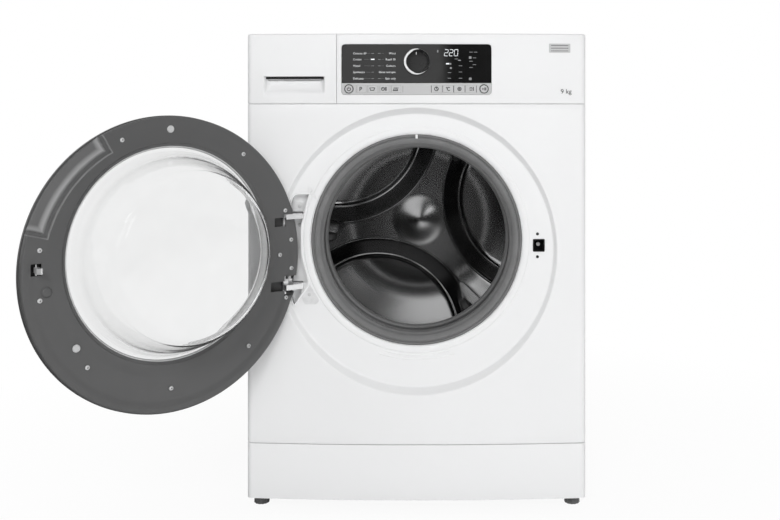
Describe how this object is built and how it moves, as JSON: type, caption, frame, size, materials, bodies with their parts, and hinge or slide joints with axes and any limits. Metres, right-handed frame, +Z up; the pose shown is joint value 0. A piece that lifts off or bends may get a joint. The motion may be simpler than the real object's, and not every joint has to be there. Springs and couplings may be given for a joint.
{
  "type": "front load washing machine",
  "caption": "Free-standing front load washing machine with an open round door, rubber gasket, steel drum, detergent drawer, display panel and program knob.",
  "frame": {"origin": "on the floor, under the centre of the 600 mm square cabinet", "axes": "+Z up, the door side faces -Y, +X to the right of a person who stands in front"},
  "size_m": [0.8886, 0.9233, 0.845],
  "materials": {
    "white_paint": "smooth white enamel on pressed steel",
    "worktop_laminate": "white laminate over chipboard",
    "white_plastic": "smooth white moulding",
    "plain_plastic": "unpainted moulded plastic",
    "door_grey": "fine satin grain, mid grey",
    "door_shell_grey": "smooth dark grey moulding",
    "window_clear": "clear polished cover",
    "bowl_glass": "thick clear pressed glass",
    "display_black": "polished smoked panel",
    "key_silver": "satin silver coating",
    "knob_black": "glossy black with a bright ring",
    "board_green": "solder mask over laminate",
    "gasket_rubber": "soft grey rubber",
    "black_rubber": "ribbed black rubber",
    "stainless": "perforated stainless sheet",
    "lifter_plastic": "moulded grey plastic",
    "cast_alloy": "as-cast alloy",
    "bearing_steel": "ground steel",
    "hinge_zinc": "zinc plated, satin",
    "hinge_chrome": "bright plated",
    "damper_black": "black moulding",
    "concrete": "cast concrete"
  },
  "bodies": {
    "cabinet": {"left_side_panel": "white_paint", "right_side_panel": "white_paint", "front_panel": "white_paint", "rear_panel": "white_paint", "worktop": "worktop_laminate", "console_fascia": "white_plastic", "kick_plate": "white_plastic", "tub_front": "plain_plastic", "tub_rear": "plain_plastic", "dispenser_housing": "plain_plastic", "base_tray": "plain_plastic", "inlet_valve": "plain_plastic", "drain_pump": "plain_plastic", "door_lock": "plain_plastic", "display_window": "display_black", "key_strip": "key_silver", "control_board": "board_green", "door_gasket": "gasket_rubber", "drive_belt": "black_rubber", "motor": "cast_alloy", "bearing_front": "bearing_steel", "bearing_rear": "bearing_steel", "hinge_bracket": "hinge_zinc", "suspension_spring_left": "hinge_zinc", "suspension_spring_right": "hinge_zinc", "hinge_pin": "hinge_chrome", "damper_left": "damper_black", "damper_right": "damper_black", "upper_counterweight": "concrete", "front_counterweight": "concrete"},
    "door": {"hinge_arm": "hinge_chrome", "door_inner_ring": "door_grey", "door_outer_shell": "door_shell_grey", "door_glass": "bowl_glass", "door_window": "window_clear"},
    "latch": {"latch_hook": "hinge_chrome"},
    "drawer": {"drawer_front": "white_plastic", "dispenser_drawer": "plain_plastic"},
    "knob": {"program_knob": "knob_black"},
    "drum": {"drum": "stainless", "lifter_1": "lifter_plastic", "lifter_2": "lifter_plastic", "lifter_3": "lifter_plastic", "drum_spider": "cast_alloy", "drum_pulley": "cast_alloy"},
    "motor_pulley": {"motor_pulley": "cast_alloy"},
    "power_key": {"power_key": "key_silver"},
    "start_key": {"start_key": "key_silver"},
    "option_key_1": {"option_key_1": "key_silver"},
    "option_key_2": {"option_key_2": "key_silver"},
    "option_key_3": {"option_key_3": "key_silver"},
    "option_key_4": {"option_key_4": "key_silver"},
    "option_key_5": {"option_key_5": "key_silver"},
    "option_key_6": {"option_key_6": "key_silver"},
    "option_key_7": {"option_key_7": "key_silver"},
    "option_key_8": {"option_key_8": "key_silver"},
    "foot_front_left": {"foot_front_left": "black_rubber"},
    "foot_front_right": {"foot_front_right": "black_rubber"},
    "foot_rear_left": {"foot_rear_left": "black_rubber"},
    "foot_rear_right": {"foot_rear_right": "black_rubber"}
  },
  "joints": [
    {"name": "door_hinge", "type": "hinge", "parent": "cabinet", "child": "door", "pos_m": [-0.225, -0.304, 0.461], "axis": [0, 0, 1], "range_deg": [0, 140]},
    {"name": "latch_pivot", "type": "hinge", "parent": "door", "child": "latch", "pos_m": [-0.55973, -0.59271, 0.47], "axis": [0, 0, 1], "range_deg": [0, 8], "stiffness_Nm_per_rad": 0.2},
    {"name": "drawer_slide", "type": "slide", "parent": "cabinet", "child": "drawer", "axis": [0, -1, 0], "range_m": [0, 0.24]},
    {"name": "knob_turn", "type": "hinge", "parent": "cabinet", "child": "knob", "pos_m": [0, -0.311, 0.7946], "axis": [0, 1, 0], "continuous": true},
    {"name": "drum_spin", "type": "hinge", "parent": "cabinet", "child": "drum", "pos_m": [0, 0.08, 0.48], "axis": [0, 1, 0], "continuous": true},
    {"name": "motor_pulley_spin", "type": "hinge", "parent": "cabinet", "child": "motor_pulley", "pos_m": [0.06164, 0.16, 0.13039], "axis": [0, 1, 0], "continuous": true},
    {"name": "power_key_press", "type": "slide", "parent": "cabinet", "child": "power_key", "axis": [0, 1, 0], "range_m": [0, 0.0008], "stiffness_N_per_m": 800},
    {"name": "start_key_press", "type": "slide", "parent": "cabinet", "child": "start_key", "axis": [0, 1, 0], "range_m": [0, 0.0008], "stiffness_N_per_m": 800},
    {"name": "option_key_1_press", "type": "slide", "parent": "cabinet", "child": "option_key_1", "axis": [0, 1, 0], "range_m": [0, 0.0008], "stiffness_N_per_m": 800},
    {"name": "option_key_2_press", "type": "slide", "parent": "cabinet", "child": "option_key_2", "axis": [0, 1, 0], "range_m": [0, 0.0008], "stiffness_N_per_m": 800},
    {"name": "option_key_3_press", "type": "slide", "parent": "cabinet", "child": "option_key_3", "axis": [0, 1, 0], "range_m": [0, 0.0008], "stiffness_N_per_m": 800},
    {"name": "option_key_4_press", "type": "slide", "parent": "cabinet", "child": "option_key_4", "axis": [0, 1, 0], "range_m": [0, 0.0008], "stiffness_N_per_m": 800},
    {"name": "option_key_5_press", "type": "slide", "parent": "cabinet", "child": "option_key_5", "axis": [0, 1, 0], "range_m": [0, 0.0008], "stiffness_N_per_m": 800},
    {"name": "option_key_6_press", "type": "slide", "parent": "cabinet", "child": "option_key_6", "axis": [0, 1, 0], "range_m": [0, 0.0008], "stiffness_N_per_m": 800},
    {"name": "option_key_7_press", "type": "slide", "parent": "cabinet", "child": "option_key_7", "axis": [0, 1, 0], "range_m": [0, 0.0008], "stiffness_N_per_m": 800},
    {"name": "option_key_8_press", "type": "slide", "parent": "cabinet", "child": "option_key_8", "axis": [0, 1, 0], "range_m": [0, 0.0008], "stiffness_N_per_m": 800},
    {"name": "foot_front_left_turn", "type": "hinge", "parent": "cabinet", "child": "foot_front_left", "pos_m": [-0.281, -0.255, 0.02], "axis": [0, 0, -1], "range_deg": [0, 2880]},
    {"name": "foot_front_right_turn", "type": "hinge", "parent": "cabinet", "child": "foot_front_right", "pos_m": [0.281, -0.255, 0.02], "axis": [0, 0, -1], "range_deg": [0, 2880]},
    {"name": "foot_rear_left_turn", "type": "hinge", "parent": "cabinet", "child": "foot_rear_left", "pos_m": [-0.281, 0.255, 0.02], "axis": [0, 0, -1], "range_deg": [0, 2880]},
    {"name": "foot_rear_right_turn", "type": "hinge", "parent": "cabinet", "child": "foot_rear_right", "pos_m": [0.281, 0.255, 0.02], "axis": [0, 0, -1], "range_deg": [0, 2880]}
  ],
  "couplings": [
    {"joint": "motor_pulley_spin", "follows": "drum_spin", "ratio": 11.538}
  ]
}
